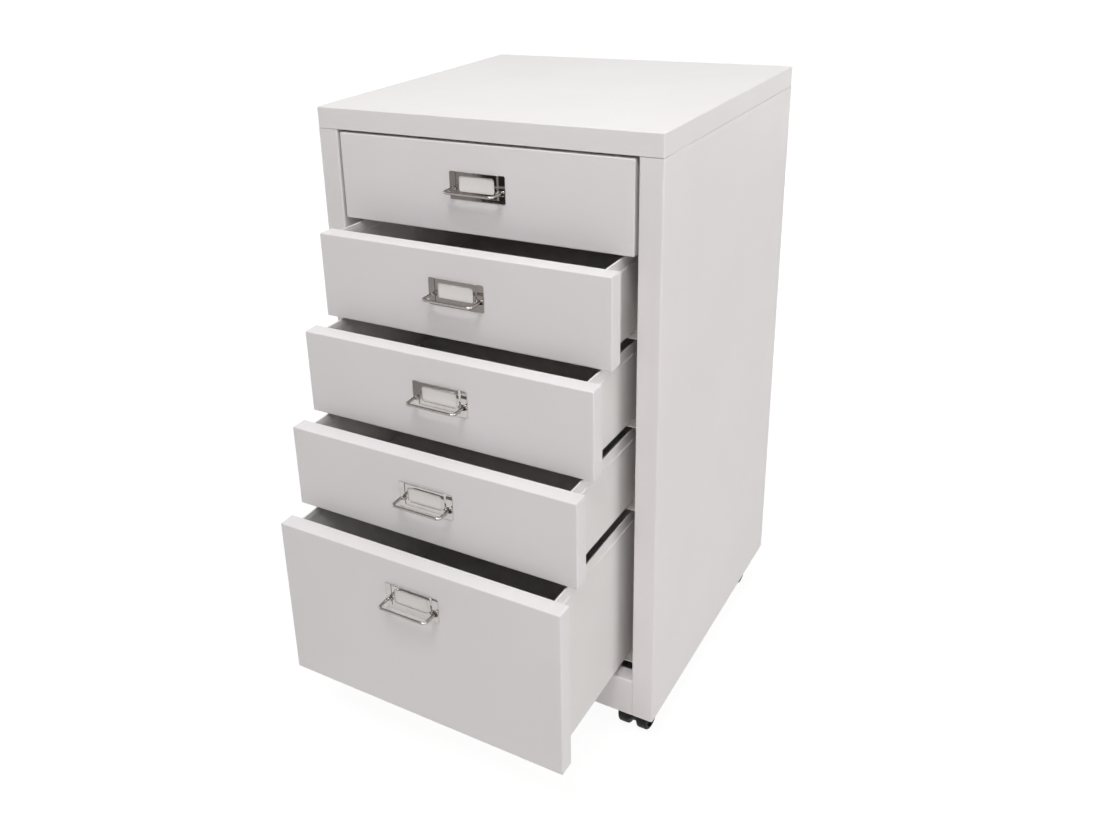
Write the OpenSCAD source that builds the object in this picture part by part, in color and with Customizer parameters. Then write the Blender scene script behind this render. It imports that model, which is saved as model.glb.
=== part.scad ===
// Small metal drawer cabinet on castors: four shallow drawers over one deep drawer.
// Millimetres, +X to the right, +Y to the back, +Z up.
// The origin is on the floor, halfway across the cabinet and halfway between its back
// and the pull that stands furthest out.

/* [Cabinet body] */
// Width across the side panels
body_w = 384; // [350:1:460]
// Depth from the front face to the back
body_d = 380; // [340:1:520]
// Thickness of the body's sheet steel
sheet = 1; // [0.8:0.1:1.5]
// Centre-line radius of the soft folds in the side panels
fold_r = 3; // [2:0.5:5]
// Height of the folded edge around the top panel
cap_h = 22; // [18:1:40]
// Width of the lip folded in under the edge of the top panel
cap_lip = 16; // [13:1:24]
// Width of the front stile folded from each side panel
stile_w = 24; // [20:1:36]
// Depth of the stile's inner return
stile_return = 40; // [30:1:60]
// Width of the flanges folded in at the back and the top of each side panel
side_flange = 16; // [12:1:22]
// Paint gap between the top panel and the side panels
seam = 0.3; // [0.2:0.1:0.8]
// Height of the plinth rail below the deep drawer
plinth_h = 45; // [35:1:80]
// Depth of the plinth rail's top return
plinth_return = 18; // [14:1:30]
// Height of the upturned edges of the floor panel
floor_edge = 18; // [12:1:28]
// Depth of the two rear posts
post_d = 32; // [24:1:48]

/* [Drawer fronts] */
// Height of a shallow drawer's front
small_front_h = 91; // [80:1:140]
// Height of the deep drawer's front
deep_front_h = 185; // [150:1:260]
// Gap between one shallow front and the next
front_gap = 4; // [3:0.5:8]
// Gap between the deep front and the front above it
deep_gap = 6; // [3:0.5:10]
// Gap between the top panel and the first front
top_gap = 3; // [2:0.5:6]
// Gap between the plinth rail and the deep front
bottom_gap = 3; // [2:0.5:6]
// Gap between a front and the stile at each side
side_gap = 3.5; // [2:0.5:6]
// Depth of the folded front pan
front_d = 18; // [12:1:24]
// Width of the flanges folded in behind the front's sides
front_flange = 20; // [16:1:26]

/* [Drawer trays] */
// How far a tray's inner face stays inside the side edge of its front
tray_inset = 14.5; // [13:0.5:24]
// Gap between a closed drawer's tray and the back panel
tray_back_gap = 12; // [6:1:50]
// Thickness of the tray's sheet steel
tray_sheet = 0.8; // [0.6:0.1:1.2]
// Height of a tray's underside above the lower edge of its front
tray_lift = 7.5; // [2.5:0.5:12]
// Height of the set-in band along the top of each tray side
band_h = 11; // [8:1:20]
// How far the tray side steps out below the band
band_step = 1; // [0.5:0.1:1.5]
// How far the tray's back wall stays below its top edge
back_drop = 8; // [0:1:25]
// How far the stop lug at the back of a tray reaches out
lug_reach = 8; // [6:1:9]
// Height of the stop lug
lug_h = 20; // [12:1:30]

/* [Standing open] */
// How far the second drawer stands open
open_2 = 47; // [0:1:200]
// How far the third drawer stands open
open_3 = 85; // [0:1:200]
// How far the fourth drawer stands open
open_4 = 120; // [0:1:200]
// How far the deep drawer stands open
open_5 = 155; // [0:1:200]
// How far a drawer travels from closed to its stop
travel = 285; // [210:1:300]

/* [Runners] */
// Thickness of the runners' sheet steel
runner_sheet = 1.2; // [1:0.1:1.5]
// Height of a runner's upright web
runner_h = 30; // [20:1:45]
// How far a runner's ledge reaches in under the tray
runner_under = 3.5; // [2:0.5:8]
// Clear gap where a stop meets its piece
stop_gap = 0.3; // [0.2:0.1:0.6]

/* [Pulls] */
// Width of the flat wing at each side of a pull's plate
wing_w = 7; // [6.5:0.5:12]
// Height of a pull's plate
plate_h = 28; // [25:0.5:36]
// Thickness of the plate's sheet
plate_t = 0.8; // [0.6:0.1:1]
// Distance of the plate below the top of a shallow front
plate_drop = 28; // [20:0.5:36]
// Distance of the plate below the top of the deep front
deep_plate_drop = 28.5; // [20:0.5:60]
// Width of the raised label holder in the middle of the plate
holder_w = 49; // [46:0.5:54]
// How far the label holder is raised above the plate
holder_rise = 1; // [0.8:0.1:1.4]
// Height of the flat strip of the plate below the label holder
holder_foot = 3.5; // [3:0.5:6]
// Width of the label holder's frame at each side of the window
window_edge = 4.5; // [4:0.25:8]
// Height of the label window
window_h = 16; // [10:0.5:16.5]
// Distance of the label window below the top of the plate
window_drop = 3.5; // [3:0.5:4.5]
// Radius of the window's corners
window_r = 3; // [1:0.5:4]
// Radius of the plate's corners
plate_r = 1.6; // [0.5:0.1:3]
// Thickness of the label card
card_t = 0.5; // [0.3:0.1:0.8]
// Wire diameter of the bail
bail_d = 3; // [2.5:0.1:3.2]
// Length of the knuckles that carry the bail's pins
knuckle_l = 3; // [2.5:0.5:4]
// Gap between the knuckles and the legs of the bail
leg_gap = 0.4; // [0.3:0.1:1]
// Reach of the bail from its pivot to the middle of its grip
bail_reach = 17; // [14:0.5:24]
// Distance of the bail's pivot below the top of the plate
bail_drop = 17; // [13:0.5:19]
// Centre-line radius of the bail's bends
bail_r = 4; // [3:0.5:7]
// Diameter of the pins at the ends of the bail
pin_d = 2; // [1.6:0.1:2.2]
// Radial clearance of the pins in the label holder
pin_fit = 0.05; // [0.02:0.01:0.1]

/* [Castors] */
// Height of a castor from the floor to the top of its plate
castor_h = 44; // [43:1:60]
// Diameter of a castor wheel
wheel_d = 36; // [30:1:37]
// Width of one castor wheel
wheel_w = 12.5; // [10:0.5:20]
// Thickness of the hood's web between the wheels
web_t = 8; // [7:0.5:12]
// Distance of a castor's pin from the cabinet's side
castor_in = 32.5; // [30:0.5:60]
// Distance of a front castor's pin from the cabinet's front
castor_front = 29; // [28:1:80]
// Distance of a rear castor's pin from the cabinet's back
castor_rear = 43; // [31:1:80]
// Distance of the axle behind the castor's pin
trail = 10; // [9:1:16]
// Side of the square castor plate
castor_plate = 38; // [34:1:40]
// Distance between the castor's screws
castor_pitch = 28; // [25:1:29]
// Thickness of the castor plate
castor_plate_t = 2; // [1.5:0.5:3]
// Diameter of the castor's pin
king_d = 5; // [4:0.5:5.5]
// Diameter of the axle
axle_d = 6; // [4:0.5:8]
// Radial clearance of the castor's pin and of the wheels on the axle
turn_fit = 0.05; // [0.02:0.01:0.1]

/* [Screws] */
// Diameter of the screws
screw_d = 4; // [3:0.5:4.5]
// Clearance around a screw in its hole, all round
screw_fit = 0.2; // [0.1:0.1:0.4]

/* [Hidden] */
$fn = 48;
paint = [0.91, 0.90, 0.90];
steel = [0.72, 0.73, 0.74];
chrome = [0.78, 0.78, 0.76];
black = [0.09, 0.09, 0.09];
card_white = [0.95, 0.94, 0.92];

drawers = [1:5];
sides = ["left", "right"];
castor_names = ["front_left", "front_right", "rear_left", "rear_right"];

half_w = body_w / 2;
inner_w = half_w - sheet;                      // inner face of a side panel
stile_x = half_w - stile_w;                    // inner edge of a stile
front_w = 2 * (stile_x - side_gap);
base_z = castor_h;                             // underside of the body
floor_z = base_z + sheet;                      // top of the floor panel
plinth_z = base_z + plinth_h;
deep_z = plinth_z + bottom_gap;                // lower edge of the deep front
small_z = deep_z + deep_front_h + deep_gap;    // lower edge of the lowest shallow front
small_pitch = small_front_h + front_gap;
cap_z = small_z + 4 * small_pitch - front_gap + top_gap;
top_z = cap_z + cap_h;
side_top = cap_z - seam;

function is_deep(i) = i == 5;
function front_h(i) = is_deep(i) ? deep_front_h : small_front_h;
function front_z(i) = is_deep(i) ? deep_z : small_z + (4 - i) * small_pitch;
function front_top(i) = front_z(i) + front_h(i);
function tray_z(i) = front_z(i) + tray_lift;
function open_by(i) = [0, open_2, open_3, open_4, open_5][i - 1];

// pull, measured back from the face of its drawer front
wing_x = holder_w / 2;
plate_w = holder_w + 2 * wing_w;
window_w = holder_w - 2 * window_edge;
holder_out = plate_t + holder_rise;            // face of the label holder
holder_h = plate_h - holder_foot;
slope = 1.6 * holder_rise;                     // width of the sloped edge of the holder
knuckle_x = wing_x + 1;                        // outer ends of the knuckles
knuckle_r = pin_d / 2 + 0.7;
pin_x = knuckle_x - knuckle_l;                 // inner ends of the knuckles and pins
leg_x = knuckle_x + leg_gap + bail_d / 2;
card_w = 2 * (pin_x - stop_gap);
bail_clear = 0.2;                              // gap between the bail's wire and the plate
pivot_y = plate_t + bail_d / 2 + bail_clear;
pull_out = pivot_y + bail_reach + bail_d / 2;
front_y = (max([for (i = drawers) open_by(i)]) + pull_out - body_d) / 2;

tray_in_w = front_w - 2 * tray_inset;                 // clear width at the top of a tray
tray_side = tray_in_w / 2 + band_step + tray_sheet;   // outer face of a tray's side
tray_y = front_d;                                     // front of a tray in a closed drawer
back_y = body_d - 2 * sheet;                          // front of the back panel
tray_end = back_y - tray_back_gap;
lug_y = tray_end - 2 * tray_sheet;                    // front of the stop lug, drawer closed
post_x = stile_x;
post_y = back_y - post_d;
post_z = floor_z + floor_edge;
ledge_x = tray_side - runner_under;
runner_y = front_d + stop_gap;
runner_end = back_y - sheet;
stop_y = lug_y - travel - stop_gap;                   // back of the runner's stop

castor_x = half_w - castor_in;
wheel_r = wheel_d / 2;
wheel_clear = 0.8;                                    // gap between a wheel's rim and the hood
web_back = 5;                                         // how far the web's front stays inside the treads
hood_t = 1.4;                                         // thickness of the hood
hood_in = wheel_r + wheel_clear;
hood_out = hood_in + hood_t;
wheel_in = web_t / 2 + 0.5;                           // inner face of a wheel
wheel_out = wheel_in + wheel_w;
castor_under = castor_h - castor_plate_t;             // underside of the castor plate
head_r = screw_d * 0.85;
head_h = screw_d * 0.5;
thread_out = 3;                                       // length of thread past the last sheet
fold_gap = 2;                                         // gap between a fold and the piece next to it

// ---- helpers -----------------------------------------------------------------

function unit(v) = v / norm(v);
function left_of(v) = [-v[1], v[0]];
function turned(v, a) = [v[0] * cos(a) - v[1] * sin(a), v[0] * sin(a) + v[1] * cos(a)];

// One side of a bent strip: the path p moved left by o, with arcs of radius r at its corners.
function strip_side(p, r, o) = concat(
    [p[0] + o * left_of(unit(p[1] - p[0]))],
    [for (i = [1 : len(p) - 2])
        let (
            d1 = unit(p[i] - p[i - 1]),
            d2 = unit(p[i + 1] - p[i]),
            c = d1[0] * d2[1] - d1[1] * d2[0],
            s = sign(c),
            turn = acos(max(-1, min(1, d1 * d2))),
            n = left_of(d1),
            centre = p[i] - d1 * r * tan(turn / 2) + s * r * n
        )
        for (k = [0:6]) centre - s * (r - s * o) * turned(n, s * turn * k / 6)],
    [p[len(p) - 1] + o * left_of(unit(p[len(p) - 1] - p[len(p) - 2]))]
);

function backwards(p) = [for (i = [len(p) - 1 : -1 : 0]) p[i]];

// A bent strip of sheet: thickness t along the path p, bends of centre-line radius r.
module strip(p, t, r) {
    polygon(concat(strip_side(p, r, t / 2), backwards(strip_side(p, r, -t / 2))));
}

// A box from its lowest to its highest corner.
module block(lo, hi) {
    translate(lo) cube(hi - lo);
}

// Runs the children's drawing plane (X, Z) along +Y.
module along_y(from, to) {
    translate([0, to, 0]) rotate([90, 0, 0]) linear_extrude(to - from) children();
}

// Runs the children's drawing plane (Y, Z) along +X.
module along_x(from, to) {
    translate([from, 0, 0]) rotate([90, 0, 90]) linear_extrude(to - from) children();
}

// The children and their mirror image across the middle of the cabinet.
module both_sides() {
    children();
    mirror([1, 0, 0]) children();
}

// Right-hand shape as it is, or mirrored for the left-hand piece.
module on_side(side) {
    if (side == "left") mirror([1, 0, 0]) children();
    else children();
}

// Cabinet coordinates, with y = 0 on the front face, to the part's frame.
module in_cabinet() {
    translate([0, front_y, 0]) children();
}

// Drawer i where it stands: y = 0 is the face of its front.
module in_drawer(i) {
    in_cabinet() translate([0, -open_by(i), 0]) children();
}

// ---- body --------------------------------------------------------------------

cap_screw_x = inner_w - side_flange / 2;
cap_screw_y = [body_d * 0.16, body_d * 0.84];

module cap_screw_spots() {
    both_sides() for (y = cap_screw_y) translate([cap_screw_x, y, 0]) children();
}

module top_panel() {
    color(paint) in_cabinet() difference() {
        block([-half_w, 0, cap_z], [half_w, body_d, top_z]);
        block([-inner_w, sheet, cap_z + sheet], [inner_w, body_d - sheet, top_z - sheet]);
        block([cap_lip - half_w, cap_lip, cap_z - 1],
              [half_w - cap_lip, body_d - cap_lip, cap_z + 2 * sheet]);
        cap_screw_spots() translate([0, 0, cap_z - 1]) cylinder(d = screw_d, h = 2 * sheet + 1);
    }
}

module side_panel(side) {
    mid = sheet / 2;
    outline = [
        [half_w - side_flange, body_d - mid],
        [half_w - mid, body_d - mid],
        [half_w - mid, mid],
        [stile_x + mid, mid],
        [stile_x + mid, stile_return]
    ];
    color(paint) in_cabinet() on_side(side) difference() {
        union() {
            translate([0, 0, base_z]) linear_extrude(side_top - base_z) strip(outline, sheet, fold_r);
            block([inner_w - side_flange, 2 * fold_r, side_top - sheet],
                  [half_w - mid, body_d - 2 * fold_r, side_top]);
        }
        // room for the floor panel and the castor nuts behind the stile
        block([stile_x - 1, sheet, base_z - 1],
              [inner_w - 2 * fold_r, stile_return + 1, floor_z + head_h + 1]);
        for (y = cap_screw_y) translate([cap_screw_x, y, side_top - 2 * sheet])
            cylinder(r = screw_d / 2 + screw_fit, h = 3 * sheet);
    }
}

module back_panel() {
    w = inner_w - 2 * fold_r;
    color(paint) in_cabinet()
        block([-w, back_y, base_z], [w, back_y + sheet, side_top - sheet]);
}

module castor_spots() {
    for (n = castor_names) castor_place(n) children();
}

module screw_pattern() {
    for (x = [-1, 1], y = [-1, 1]) translate([x, y, 0] * castor_pitch / 2) children();
}

module floor_panel() {
    tongue = stile_x - sheet;
    color(paint) in_cabinet() difference() {
        union() {
            block([-tongue, sheet, base_z], [tongue, back_y, floor_z]);
            block([-inner_w, 2 * fold_r, base_z], [inner_w, back_y - 2 * fold_r, floor_z]);
            both_sides() block([inner_w - sheet, stile_return + fold_gap, base_z],
                               [inner_w, post_y - fold_gap, floor_z + floor_edge]);
            for (y = [sheet, back_y - sheet])
                block([fold_gap - tongue, y, base_z],
                      [tongue - fold_gap, y + sheet, floor_z + floor_edge]);
        }
        castor_spots() screw_pattern() translate([0, 0, base_z - 1])
            cylinder(r = screw_d / 2 + screw_fit, h = 3 * sheet);
    }
}

module plinth_rail() {
    mid = sheet / 2;
    outline = [[mid, base_z], [mid, plinth_z - mid], [plinth_return, plinth_z - mid]];
    color(paint) in_cabinet() along_x(-stile_x, stile_x) strip(outline, sheet, fold_r / 2);
}

module rear_post(side) {
    mid = sheet / 2;
    edge_x = inner_w - 2 * fold_r;
    outline = [
        [edge_x, post_y + mid],
        [post_x + mid, post_y + mid],
        [post_x + mid, back_y - mid],
        [edge_x, back_y - mid]
    ];
    color(steel) in_cabinet() on_side(side) translate([0, 0, post_z])
        linear_extrude(side_top - 2 * sheet - post_z) strip(outline, sheet, fold_r / 2);
}

// L-shaped runner of drawer i: an upright web and the ledge that the tray slides on.
module runner(i) {
    mid = runner_sheet / 2;
    z = tray_z(i);
    outline = [[ledge_x, z - mid], [stile_x - mid, z - mid], [stile_x - mid, z + runner_h]];
    along_y(runner_y, runner_end) strip(outline, runner_sheet, fold_r / 2);
    block([tray_side + fold_gap, stop_y - runner_sheet, z - mid],
          [tray_side + lug_reach, stop_y, z + lug_h]);
}

module runners(side) {
    color(steel) in_cabinet() on_side(side) for (i = drawers) runner(i);
}

// Screw with its head down at z = 0 and its shank up to z = length.
module screw(length) {
    translate([0, 0, -head_h]) cylinder(r = head_r, h = head_h);
    cylinder(d = screw_d, h = length);
}

module body_screws() {
    color(steel) in_cabinet() cap_screw_spots()
        translate([0, 0, side_top - sheet]) screw(seam + 2 * sheet + thread_out);
}

// ---- drawers -----------------------------------------------------------------

function plate_top(i) = front_top(i) - (is_deep(i) ? deep_plate_drop : plate_drop);
tab_h = 6;
tab_fit = 0.1;

module at_pull(i) {
    in_drawer(i) translate([0, 0, plate_top(i)]) children();
}

module drawer_front(i) {
    a = front_w / 2;
    z0 = front_z(i);
    z1 = front_top(i);
    color(paint) in_drawer(i) difference() {
        block([-a, 0, z0], [a, front_d, z1]);
        block([sheet - a, sheet, z0 + sheet], [a - sheet, front_d - sheet, z1 - sheet]);
        block([front_flange - a, sheet, z0 + sheet], [a - front_flange, front_d + 1, z1 - sheet]);
        // slots for the tabs of the pull's plate
        both_sides() block(
            [plate_w / 2 - plate_t - tab_fit, -1, plate_top(i) - plate_h / 2 - tab_h / 2 - tab_fit],
            [plate_w / 2 + tab_fit, sheet + 1, plate_top(i) - plate_h / 2 + tab_h / 2 + tab_fit]);
    }
}

module drawer_tray(i) {
    mid = tray_sheet / 2;
    z0 = tray_z(i);
    z1 = front_top(i);
    top_x = tray_in_w / 2 + mid;
    low_x = tray_side - mid;
    right = [
        [low_x, z0 + mid],
        [low_x, z1 - band_h - band_step],
        [top_x, z1 - band_h],
        [top_x, z1]
    ];
    outline = concat([for (p = backwards(right)) [-p[0], p[1]]], right);
    color(paint) in_drawer(i) {
        along_y(tray_y, tray_end) strip(outline, tray_sheet, tray_sheet * 0.6);
        block([-top_x, tray_y, z0 + mid], [top_x, tray_y + tray_sheet, z1]);
        block([-top_x, tray_end - tray_sheet, z0 + mid], [top_x, tray_end, z1 - back_drop]);
        both_sides() block([low_x, lug_y, z0 + fold_gap],
                           [tray_side + lug_reach, lug_y + tray_sheet, z0 + lug_h]);
    }
}

// Flat wings and sloped label holder, with the folds a pressed sheet has.
module plate_profile() {
    mid = plate_t / 2;
    right = [[wing_x - slope, mid - holder_out], [wing_x, -mid], [plate_w / 2, -mid]];
    strip(concat([for (p = backwards(right)) [-p[0], p[1]]], right), plate_t, plate_t * 0.6);
}

module pull_plate(i) {
    half = plate_w / 2;
    tab_z = -plate_h / 2;
    stop_z = -bail_drop - bail_d / 2 - bail_clear;
    color(chrome) at_pull(i) difference() {
        union() {
            intersection() {
                union() {
                    translate([0, 0, -holder_h]) linear_extrude(holder_h) plate_profile();
                    block([-half, -plate_t, -plate_h], [half, 0, plate_t / 2 - holder_h]);
                    // lower edge of the label holder
                    translate([0, 0, -holder_h]) linear_extrude(plate_t)
                        polygon([[-wing_x, -plate_t / 2], [slope - wing_x, -holder_out],
                                 [wing_x - slope, -holder_out], [wing_x, -plate_t / 2]]);
                }
                along_y(-holder_out - 1, 1) translate([0, -plate_h / 2])
                    round_box(plate_w, plate_h, plate_r);
            }
            both_sides() {
                // knuckle around the bail's pin
                along_x(pin_x, knuckle_x) union() {
                    translate([-pivot_y, -bail_drop]) circle(knuckle_r);
                    translate([-pivot_y, -bail_drop - knuckle_r])
                        square([pivot_y - plate_t / 2, 2 * knuckle_r]);
                }
                // tab through the drawer front, clinched behind it
                block([half - plate_t, -plate_t, tab_z - tab_h / 2],
                      [half, sheet + plate_t, tab_z + tab_h / 2]);
                block([wing_x + 1, sheet, tab_z - tab_h / 2],
                      [half, sheet + plate_t, tab_z + tab_h / 2]);
                // stop that the bail's leg rests on
                block([knuckle_x + leg_gap, -pivot_y - 1, stop_z - plate_t],
                      [half - 1, -plate_t / 2, stop_z]);
            }
        }
        along_y(-holder_out - 1, -holder_out + 1.5 * plate_t)
            translate([0, -window_drop - window_h / 2]) round_box(window_w, window_h, window_r);
        both_sides() along_x(pin_x - stop_gap, knuckle_x + 1) translate([-pivot_y, -bail_drop])
            circle(pin_d / 2 + pin_fit);
    }
}

// A rectangle about the origin with round corners, from true arcs.
module round_box(w, h, r) {
    square([w - 2 * r, h], center = true);
    square([w, h - 2 * r], center = true);
    for (x = [-1, 1], y = [-1, 1]) translate([x * (w / 2 - r), y * (h / 2 - r)]) circle(r);
}

module label_card(i) {
    color(card_white) at_pull(i)
        block([-card_w / 2, plate_t - holder_out, plate_t - holder_h],
              [card_w / 2, plate_t - holder_out + card_t, -1]);
}

// A quarter bend of wire in the XY plane, from +X round to +Y about the origin.
module wire_bend(r, d) {
    rotate_extrude(angle = 90) translate([r, 0]) circle(d = d);
}

module bail(i) {
    straight = bail_reach - bail_r;
    color(chrome) at_pull(i) translate([0, -pivot_y, -bail_drop]) {
        both_sides() {
            translate([pin_x, 0, 0]) rotate([0, 90, 0]) cylinder(d = pin_d, h = leg_x - pin_x);
            translate([leg_x, 0, 0]) sphere(d = bail_d);
            translate([leg_x, 0, 0]) rotate([90, 0, 0]) cylinder(d = bail_d, h = straight);
            translate([leg_x - bail_r, -straight, 0]) rotate([0, 0, -90]) wire_bend(bail_r, bail_d);
        }
        translate([bail_r - leg_x, -bail_reach, 0]) rotate([0, 90, 0])
            cylinder(d = bail_d, h = 2 * (leg_x - bail_r));
    }
}

// ---- castors -----------------------------------------------------------------

function castor_spot(n) = [
    (n == "front_left" || n == "rear_left") ? -castor_x : castor_x,
    (n == "front_left" || n == "front_right") ? castor_front : body_d - castor_rear
];

// A castor's pin is its own z axis; its wheels trail towards +Y.
module castor_place(n) {
    translate([castor_spot(n)[0], castor_spot(n)[1], 0]) children();
}

module at_castor(n) {
    in_cabinet() castor_place(n) children();
}

module castor_mount(n) {
    color(steel) at_castor(n) {
        difference() {
            block([-castor_plate / 2, -castor_plate / 2, castor_under],
                  [castor_plate / 2, castor_plate / 2, castor_h]);
            screw_pattern() translate([0, 0, castor_under - 1])
                cylinder(r = screw_d / 2 + screw_fit, h = castor_plate_t + 2);
        }
        translate([0, 0, king_z]) cylinder(d = king_d, h = castor_h - king_z);
    }
}

hood_low = 6.5;                        // height of the hood's lower edge above the floor
hood_brow = 8;                         // height of the hood's front edge above the axle
hood_top = castor_under - 0.4;
boss_r = king_d / 2 + 6.5;
boss_z = wheel_r + hood_out;
king_z = wheel_r + axle_d / 2 + 3;     // lower end of the castor's pin

module castor_hood(n) {
    color(black) at_castor(n) difference() {
        union() {
            // web between the wheels: round in front, out to the hood behind and above
            along_x(-web_t / 2, web_t / 2) {
                hood_sector() circle(hood_out);
                translate([trail, wheel_r]) circle(wheel_r - web_back);
            }
            block([-web_t / 2, -king_d / 2 - 3, wheel_r], [web_t / 2, trail, hood_top]);
            // hood over both wheels
            along_x(-wheel_out, wheel_out) hood_outline();
            translate([0, 0, boss_z]) cylinder(r = boss_r, h = hood_top - boss_z);
        }
        along_x(-wheel_out - 1, -web_t / 2) translate([trail, wheel_r]) circle(hood_in);
        along_x(web_t / 2, wheel_out + 1) translate([trail, wheel_r]) circle(hood_in);
        translate([0, 0, king_z - 0.5]) cylinder(r = king_d / 2 + turn_fit, h = castor_h);
        translate([-web_t, trail, wheel_r]) rotate([0, 90, 0]) cylinder(d = axle_d, h = 2 * web_t);
    }
}

// The children, centred on the axle, from the low back edge over the top to the front.
module hood_sector() {
    intersection() {
        translate([trail, wheel_r]) children();
        union() {
            translate([trail, hood_low]) square([hood_out + 1, 2 * hood_out]);
            translate([trail - hood_out - 1, wheel_r + hood_brow]) square(2 * hood_out);
        }
    }
}

// Ring sector over the wheels.
module hood_outline() {
    hood_sector() difference() {
        circle(hood_out);
        circle(hood_in);
    }
}

module castor_axle(n) {
    color(steel) at_castor(n) translate([1.5 - wheel_out, trail, wheel_r]) rotate([0, 90, 0])
        cylinder(d = axle_d, h = 2 * wheel_out - 3);
}

// A wheel with a shallow dish in its outer face; hand is 1 for right and -1 for left.
module castor_wheel(n, hand) {
    edge = 3.5;
    dish = 3;
    color(black) at_castor(n) translate([0, trail, wheel_r]) rotate([0, 90 * hand, 0])
        translate([0, 0, wheel_in]) rotate_extrude() polygon([
            [axle_d / 2 + turn_fit, 0],
            [wheel_r - edge, 0],
            [wheel_r - edge * 0.3, edge * 0.3],
            [wheel_r, edge],
            [wheel_r, wheel_w - edge],
            [wheel_r - edge * 0.3, wheel_w - edge * 0.3],
            [wheel_r - edge, wheel_w],
            [wheel_r - edge - 1, wheel_w],
            [wheel_r - edge - 2, wheel_w - dish],
            [axle_d / 2 + 4, wheel_w - dish],
            [axle_d / 2 + 3, wheel_w - 1],
            [axle_d / 2 + turn_fit, wheel_w - 1]
        ]);
}

module castor_screws() {
    color(steel) in_cabinet() castor_spots() screw_pattern() {
        translate([0, 0, castor_under]) screw(castor_plate_t + sheet + head_h);
        // nut above the floor panel
        translate([0, 0, floor_z]) difference() {
            cylinder(r = head_r, h = head_h, $fn = 6);
            translate([0, 0, -1]) cylinder(d = screw_d, h = head_h + 2);
        }
    }
}

// ---- nodes -------------------------------------------------------------------

top_panel();
back_panel();
floor_panel();
plinth_rail();
for (s = sides) {
    side_panel(s);
    rear_post(s);
    runners(s);
}
body_screws();
castor_screws();
for (i = drawers) {
    drawer_front(i);
    drawer_tray(i);
    pull_plate(i);
    bail(i);
    label_card(i);
}
for (n = castor_names) {
    castor_mount(n);
    castor_hood(n);
    castor_axle(n);
    castor_wheel(n, -1);
    castor_wheel(n, 1);
}
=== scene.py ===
# %% [markdown]
# # A small metal drawer cabinet on castors
#
# The cabinet is folded from sheet steel, powder coated in a warm light grey, and stands on four
# twin-wheel castors. Four shallow drawers and a deep one are pulled out a little further each,
# from the top down. Every drawer has a chrome pull: a pressed plate that holds a label card, and
# a wire bail that hinges in two knuckles.
#
# The imported CAD model comes first. It fixes every size and every joint, and the pieces that are
# modelled here take the place of its plain solids one by one, so that each still moves with the
# right body.

# %% Load the imported model
import math

import bmesh
import bpy
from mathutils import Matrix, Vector


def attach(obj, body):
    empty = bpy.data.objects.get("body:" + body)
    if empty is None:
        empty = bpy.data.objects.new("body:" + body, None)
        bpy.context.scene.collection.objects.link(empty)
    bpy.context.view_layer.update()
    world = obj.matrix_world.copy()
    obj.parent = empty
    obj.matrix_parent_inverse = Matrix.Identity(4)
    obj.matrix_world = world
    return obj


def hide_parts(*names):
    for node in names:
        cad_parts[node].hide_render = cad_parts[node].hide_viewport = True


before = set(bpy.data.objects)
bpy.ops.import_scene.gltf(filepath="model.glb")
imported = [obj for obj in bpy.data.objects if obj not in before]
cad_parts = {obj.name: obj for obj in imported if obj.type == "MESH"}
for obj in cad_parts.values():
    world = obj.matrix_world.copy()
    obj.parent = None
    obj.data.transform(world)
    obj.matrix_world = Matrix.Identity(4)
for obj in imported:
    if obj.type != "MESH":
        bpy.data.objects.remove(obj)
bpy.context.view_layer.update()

# %% [markdown]
# ## Camera
#
# A camera is a position, three turns and a focal length. This one stands to the right of the
# cabinet, a little above its top, and looks down on it. The shift moves the picture on the
# sensor without turning the camera, as a view camera does, so that upright edges keep the
# directions that they have in a product picture.

# %% Camera
lens = bpy.data.cameras.new("camera")
lens.sensor_width = 36
lens.lens = 34.7397
lens.shift_x = 0.06665
lens.shift_y = -0.08602
camera = bpy.data.objects.new("camera", lens)
camera.location = (0.53084, -0.95109, 0.88006)
camera.rotation_euler = [math.radians(turn) for turn in (68.2908, 2.4428, 31.4047)]
bpy.context.scene.collection.objects.link(camera)
bpy.context.scene.camera = camera
print("camera", round(camera.location.length, 3), "m from the origin")

# %% [markdown]
# ## Sizes
#
# The sizes are the ones that the cabinet is built to, in millimetres. Blender works in metres, so
# one factor turns one into the other. Only the sizes that are needed to shape the pieces are
# written down: the rest follows from them, as on a drawing.

# %% Sizes in millimetres
MM = 0.001
half_w = 192            # half the cabinet's width
face_y = -102           # front face of the closed drawers
back_y = 278            # outer face of the back
base_z = 44             # underside of the body
cap_z = 662             # lower edge of the top panel
top_z = 684
side_top = 661.7        # a fine open joint stays under the top panel
stile_x = 168           # inner edge of a front stile
sheet = 1.0             # body and fronts
tray_sheet = 0.8
small_h, deep_h = 91, 185
front_half = 164.5      # half the width of a drawer front
front_d = 18            # depth of the folded front
open_by = {1: 0, 2: 47, 3: 85, 4: 120, 5: 155}
drawers = (1, 2, 3, 4, 5)
deep_z, small_z = 92, 283   # lower edges of the deep front and of the lowest shallow one
front_gap = 4           # between two shallow fronts


def front_z(i):
    """Lower edge of drawer i's front."""
    return deep_z if i == 5 else small_z + (4 - i) * (small_h + front_gap)


def front_top(i):
    """Upper edge of drawer i's front."""
    return front_z(i) + (deep_h if i == 5 else small_h)


print("drawer fronts:", [(front_z(i), front_top(i)) for i in drawers])

# %% [markdown]
# ## Colour
#
# A colour is picked as an sRGB hex value, the way a screen shows it, but Blender mixes light with
# linear numbers. One function turns the first into the second, and every material uses it.

# %% From sRGB to linear


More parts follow.
